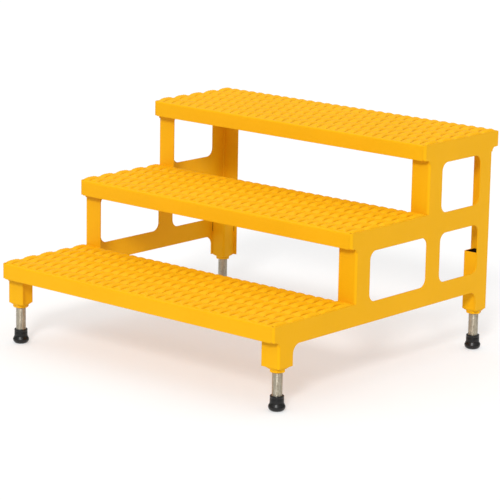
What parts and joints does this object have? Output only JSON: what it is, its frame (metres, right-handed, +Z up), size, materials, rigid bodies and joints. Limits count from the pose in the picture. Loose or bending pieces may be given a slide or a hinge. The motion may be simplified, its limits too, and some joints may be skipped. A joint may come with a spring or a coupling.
{
  "type": "mounting block",
  "caption": "Yellow steel step stand with open risers, serrated plank treads, cut-out side panels and screw-adjusted feet in rubber tips.",
  "frame": {"origin": "on the floor under the centre of the bounding box, with the feet as drawn", "axes": "+Z up, +X along the treads to the user's right when climbing, +Y into the stand, so the lowest tread faces -Y"},
  "size_m": [0.914, 0.874, 0.576],
  "materials": {
    "yellow_powder_coat": "gloss safety-yellow powder coat",
    "galvanised_steel": "dull galvanised",
    "black_rubber": "moulded, satin",
    "zinc_plate": "zinc plated"
  },
  "bodies": {
    "frame": {"side_panel_left": "yellow_powder_coat", "side_panel_right": "yellow_powder_coat", "tread_lower": "yellow_powder_coat", "tread_middle": "yellow_powder_coat", "tread_upper": "yellow_powder_coat", "socket_plate_front_left": "yellow_powder_coat", "socket_plate_front_right": "yellow_powder_coat", "socket_plate_rear_left": "yellow_powder_coat", "socket_plate_rear_right": "yellow_powder_coat", "weld_nut_front_left": "yellow_powder_coat", "weld_nut_front_right": "yellow_powder_coat", "weld_nut_rear_left": "yellow_powder_coat", "weld_nut_rear_right": "yellow_powder_coat"},
    "front_left_tip": {"rubber_tip_front_left": "black_rubber", "tip_washer_front_left": "zinc_plate"},
    "front_left_rod": {"threaded_rod_front_left": "galvanised_steel"},
    "front_right_tip": {"rubber_tip_front_right": "black_rubber", "tip_washer_front_right": "zinc_plate"},
    "front_right_rod": {"threaded_rod_front_right": "galvanised_steel"},
    "rear_left_tip": {"rubber_tip_rear_left": "black_rubber", "tip_washer_rear_left": "zinc_plate"},
    "rear_left_rod": {"threaded_rod_rear_left": "galvanised_steel"},
    "rear_right_tip": {"rubber_tip_rear_right": "black_rubber", "tip_washer_rear_right": "zinc_plate"},
    "rear_right_rod": {"threaded_rod_rear_right": "galvanised_steel"}
  },
  "joints": [
    {"name": "front_left_lift", "type": "slide", "parent": "frame", "child": "front_left_tip", "axis": [0, 0, 1], "range_m": [-0.0381, 0.04445]},
    {"name": "front_left_screw", "type": "hinge", "parent": "front_left_tip", "child": "front_left_rod", "pos_m": [-0.434, -0.394, 0.096], "axis": [0, 0, 1], "range_deg": [-4325, 5045]},
    {"name": "front_right_lift", "type": "slide", "parent": "frame", "child": "front_right_tip", "axis": [0, 0, 1], "range_m": [-0.0381, 0.04445]},
    {"name": "front_right_screw", "type": "hinge", "parent": "front_right_tip", "child": "front_right_rod", "pos_m": [0.434, -0.394, 0.096], "axis": [0, 0, 1], "range_deg": [-4325, 5045]},
    {"name": "rear_left_lift", "type": "slide", "parent": "frame", "child": "rear_left_tip", "axis": [0, 0, 1], "range_m": [-0.0381, 0.04445]},
    {"name": "rear_left_screw", "type": "hinge", "parent": "rear_left_tip", "child": "rear_left_rod", "pos_m": [-0.434, 0.387, 0.096], "axis": [0, 0, 1], "range_deg": [-4325, 5045]},
    {"name": "rear_right_lift", "type": "slide", "parent": "frame", "child": "rear_right_tip", "axis": [0, 0, 1], "range_m": [-0.0381, 0.04445]},
    {"name": "rear_right_screw", "type": "hinge", "parent": "rear_right_tip", "child": "rear_right_rod", "pos_m": [0.434, 0.387, 0.096], "axis": [0, 0, 1], "range_deg": [-4325, 5045]}
  ],
  "couplings": [
    {"joint": "front_left_screw", "follows": "front_left_lift", "rad_per_m": 1979},
    {"joint": "front_right_screw", "follows": "front_right_lift", "rad_per_m": 1979},
    {"joint": "rear_left_screw", "follows": "rear_left_lift", "rad_per_m": 1979},
    {"joint": "rear_right_screw", "follows": "rear_right_lift", "rad_per_m": 1979}
  ]
}
